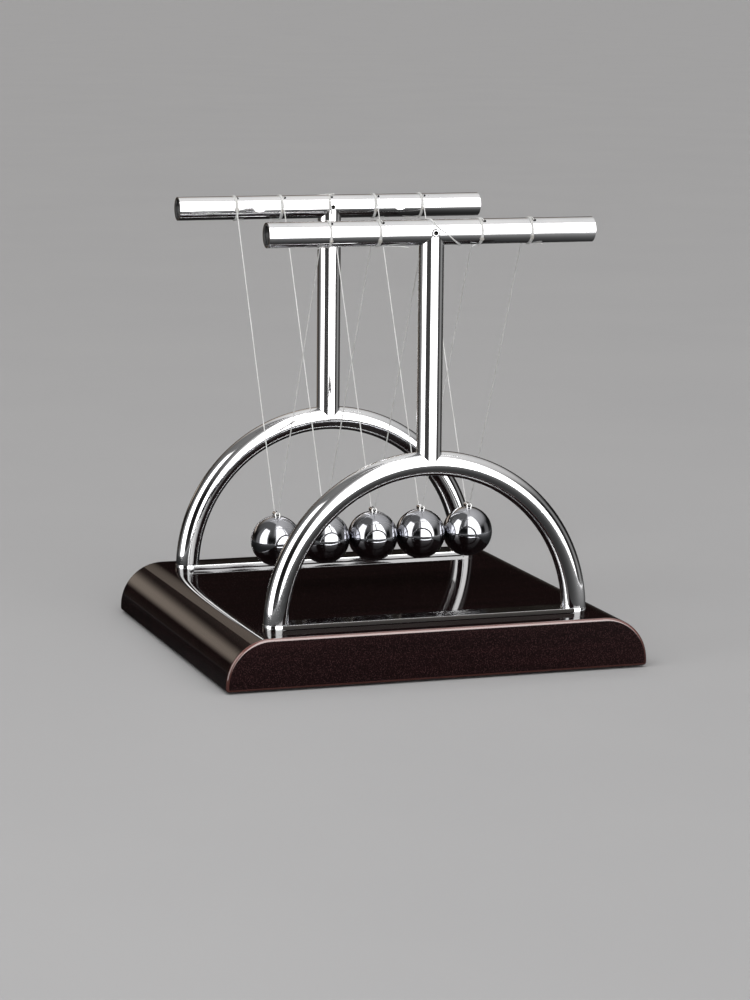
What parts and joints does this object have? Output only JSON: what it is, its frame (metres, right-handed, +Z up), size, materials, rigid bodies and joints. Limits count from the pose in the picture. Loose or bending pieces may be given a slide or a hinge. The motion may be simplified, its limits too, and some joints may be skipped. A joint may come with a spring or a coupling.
{
  "type": "newtons cradle",
  "caption": "Desk newtons cradle: steel balls hang on V-shaped nylon lines between two chromed T frames with arched feet, on a lacquered wooden block with rounded sides.",
  "frame": {"origin": "centre of the underside, on the table", "axes": "+X along the crossbars and the row of balls, -Y towards the front frame, +Z up"},
  "size_m": [0.168, 0.158, 0.1726],
  "materials": {
    "lacquered_wood": "high gloss dark wine lacquer",
    "chrome": "polished",
    "ball_steel": "polished steel",
    "eyelet_steel": "polished",
    "nylon_line": "translucent monofilament",
    "screw_steel": "zinc plated",
    "plug_brass": "machined",
    "black_plastic": "moulded black",
    "felt": "felt"
  },
  "bodies": {
    "stand": {"base_block": "lacquered_wood", "base_pads": "felt", "frame_screws": "screw_steel", "screw_washers": "screw_steel", "front_arch": "chrome", "front_arch_plugs": "plug_brass", "front_sill": "chrome", "front_post": "chrome", "front_crossbar": "chrome", "front_bar_plugs": "black_plastic", "front_bar_pin": "chrome", "front_windings": "nylon_line", "rear_arch": "chrome", "rear_arch_plugs": "plug_brass", "rear_sill": "chrome", "rear_post": "chrome", "rear_crossbar": "chrome", "rear_bar_plugs": "black_plastic", "rear_bar_pin": "chrome", "rear_windings": "nylon_line"},
    "ball_1_hung": {"ball_1": "ball_steel", "eyelet_1": "eyelet_steel", "line_1": "nylon_line"},
    "ball_2_hung": {"ball_2": "ball_steel", "eyelet_2": "eyelet_steel", "line_2": "nylon_line"},
    "ball_3_hung": {"ball_3": "ball_steel", "eyelet_3": "eyelet_steel", "line_3": "nylon_line"},
    "ball_4_hung": {"ball_4": "ball_steel", "eyelet_4": "eyelet_steel", "line_4": "nylon_line"},
    "ball_5_hung": {"ball_5": "ball_steel", "eyelet_5": "eyelet_steel", "line_5": "nylon_line"}
  },
  "joints": [
    {"name": "ball_1_swing", "type": "hinge", "parent": "stand", "child": "ball_1_hung", "pos_m": [-0.041, 0, 0.16953], "axis": [0, -1, 0], "range_deg": [-50, 0]},
    {"name": "ball_2_swing", "type": "hinge", "parent": "stand", "child": "ball_2_hung", "pos_m": [-0.021, 0, 0.16953], "axis": [0, -1, 0], "range_deg": [-0.04, 0.04]},
    {"name": "ball_3_swing", "type": "hinge", "parent": "stand", "child": "ball_3_hung", "pos_m": [-0.001, 0, 0.16953], "axis": [0, -1, 0], "range_deg": [-0.04, 0.04]},
    {"name": "ball_4_swing", "type": "hinge", "parent": "stand", "child": "ball_4_hung", "pos_m": [0.019, 0, 0.16953], "axis": [0, -1, 0], "range_deg": [-0.04, 0.04]},
    {"name": "ball_5_swing", "type": "hinge", "parent": "stand", "child": "ball_5_hung", "pos_m": [0.039, 0, 0.16953], "axis": [0, -1, 0], "range_deg": [0, 50]}
  ]
}
